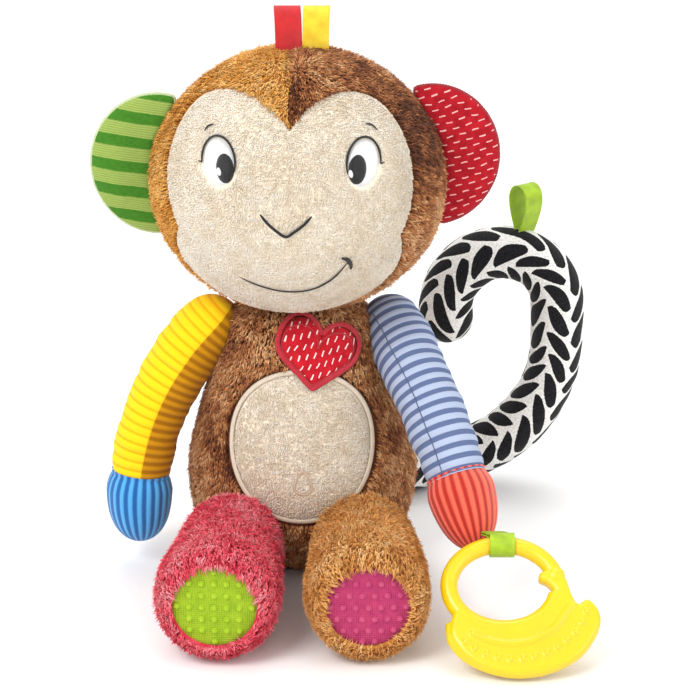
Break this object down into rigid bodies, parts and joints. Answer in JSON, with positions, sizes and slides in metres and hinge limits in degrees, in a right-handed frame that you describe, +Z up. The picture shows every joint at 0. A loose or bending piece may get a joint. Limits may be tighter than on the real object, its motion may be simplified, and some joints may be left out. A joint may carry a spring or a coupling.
{
  "type": "plush activity monkey",
  "caption": "Seated plush baby activity monkey with a hooked tail, crackling ears, ribbon loops, gripping soles and a snap-ring teether on one hand.",
  "frame": {"origin": "centre of the flat seat under the body", "axes": "+Z up, the toy faces -Y, +X is the toy's left side"},
  "size_m": [0.2583, 0.2572, 0.289],
  "materials": {
    "brown_plush": "short pile plush, matt",
    "tan_plush": "short pile plush, matt",
    "pink_plush": "short pile plush, matt",
    "fibre_filling": "loose polyester fibre",
    "rattle_plastic": "smooth moulded",
    "beige_terry": "short looped pile",
    "beige_thread": "satin stitch",
    "red_cloth": "printed knit",
    "red_thread": "satin stitch",
    "white_thread": "embroidered",
    "black_thread": "embroidered",
    "red_satin": "satin ribbon",
    "yellow_satin": "satin ribbon",
    "lime_satin": "satin ribbon",
    "green_cloth": "striped knit",
    "crackle_film": "thin film",
    "yellow_rib": "cross-ribbed knit",
    "mustard_cloth": "plain knit",
    "blue_corduroy": "needle corduroy",
    "blue_stripe": "striped knit",
    "coral_corduroy": "corduroy",
    "yellow_teether": "satin moulded",
    "lime_cloth": "plain weave",
    "magenta_cloth": "plain weave",
    "lime_dots": "raised grip print",
    "magenta_dots": "raised grip print",
    "leaf_velour": "printed velour"
  },
  "bodies": {
    "torso": {"torso_front_panel": "brown_plush", "torso_back_panel": "brown_plush", "torso_stuffing": "fibre_filling", "rattle_capsule": "rattle_plastic", "rattle_beads": "rattle_plastic", "belly_patch": "beige_terry", "belly_rim_stitch": "beige_thread", "belly_button_stitch": "beige_thread", "heart_patch": "red_cloth", "heart_rim_stitch": "red_thread"},
    "neck": {"neck_stuffing": "fibre_filling"},
    "head": {"head_right_panel": "tan_plush", "head_left_panel": "brown_plush", "face_panel": "beige_terry", "head_stuffing": "fibre_filling", "right_eye_white": "white_thread", "right_pupil": "black_thread", "right_eye_rim": "black_thread", "left_eye_white": "white_thread", "left_pupil": "black_thread", "left_eye_rim": "black_thread", "brow_stitches": "black_thread", "nose_stitch": "black_thread", "mouth_stitch": "black_thread", "red_ribbon_tab": "red_satin", "yellow_ribbon_tab": "yellow_satin"},
    "right_ear": {"right_ear_front": "green_cloth", "right_ear_back": "green_cloth", "right_ear_crackle_film": "crackle_film"},
    "left_ear": {"left_ear_front": "red_cloth", "left_ear_back": "red_cloth", "left_ear_crackle_film": "crackle_film"},
    "right_arm": {"right_sleeve": "yellow_rib", "right_sleeve_back_panel": "mustard_cloth", "right_hand": "blue_corduroy", "right_arm_stuffing": "fibre_filling", "squeaker": "rattle_plastic"},
    "left_arm": {"left_sleeve": "blue_stripe", "left_hand": "coral_corduroy", "left_arm_stuffing": "fibre_filling", "hand_ribbon": "lime_satin"},
    "teether": {"teether": "yellow_teether"},
    "right_leg": {"right_leg_plush": "pink_plush", "right_sole": "lime_cloth", "right_sole_dots": "lime_dots", "right_leg_stuffing": "fibre_filling"},
    "left_leg": {"left_leg_plush": "tan_plush", "left_sole": "magenta_cloth", "left_sole_dots": "magenta_dots", "left_leg_stuffing": "fibre_filling"},
    "tail": {"tail_skin": "leaf_velour", "tail_stuffing": "fibre_filling", "tail_ribbon_loop": "lime_satin"}
  },
  "joints": [
    {"name": "head_turn", "type": "hinge", "parent": "torso", "child": "neck", "pos_m": [0, 0, 0.146], "axis": [0, 0, 1], "range_deg": [-35, 35]},
    {"name": "head_nod", "type": "hinge", "parent": "neck", "child": "head", "pos_m": [0, 0, 0.146], "axis": [1, 0, 0], "range_deg": [-15, 1]},
    {"name": "right_ear_fold", "type": "hinge", "parent": "head", "child": "right_ear", "pos_m": [-0.076, 0.003, 0.212], "axis": [0, 0, 1], "range_deg": [-25, 25], "stiffness_Nm_per_rad": 0.02},
    {"name": "left_ear_fold", "type": "hinge", "parent": "head", "child": "left_ear", "pos_m": [0.074, 0.003, 0.217], "axis": [0, 0, -1], "range_deg": [-25, 25], "stiffness_Nm_per_rad": 0.02},
    {"name": "right_shoulder", "type": "hinge", "parent": "torso", "child": "right_arm", "pos_m": [-0.046, 0, 0.128], "axis": [-0.9063, 0.4226, 0], "range_deg": [-5, 90]},
    {"name": "left_shoulder", "type": "hinge", "parent": "torso", "child": "left_arm", "pos_m": [0.046, 0, 0.128], "axis": [-0.9848, -0.1736, 0], "range_deg": [-3, 60]},
    {"name": "teether_swing", "type": "hinge", "parent": "left_arm", "child": "teether", "pos_m": [0.0985, -0.09808, 0.04926], "axis": [1, 0, 0], "range_deg": [-40, 40]},
    {"name": "right_hip", "type": "hinge", "parent": "torso", "child": "right_leg", "pos_m": [-0.034, -0.052, 0.029], "axis": [-1, 0, 0], "range_deg": [-20, 35]},
    {"name": "left_hip", "type": "hinge", "parent": "torso", "child": "left_leg", "pos_m": [0.032, -0.052, 0.029], "axis": [-1, 0, 0], "range_deg": [-20, 35]},
    {"name": "tail_swing", "type": "hinge", "parent": "torso", "child": "tail", "pos_m": [0.012, 0.05, 0.017], "axis": [0, 0, 1], "range_deg": [-10, 35]}
  ]
}
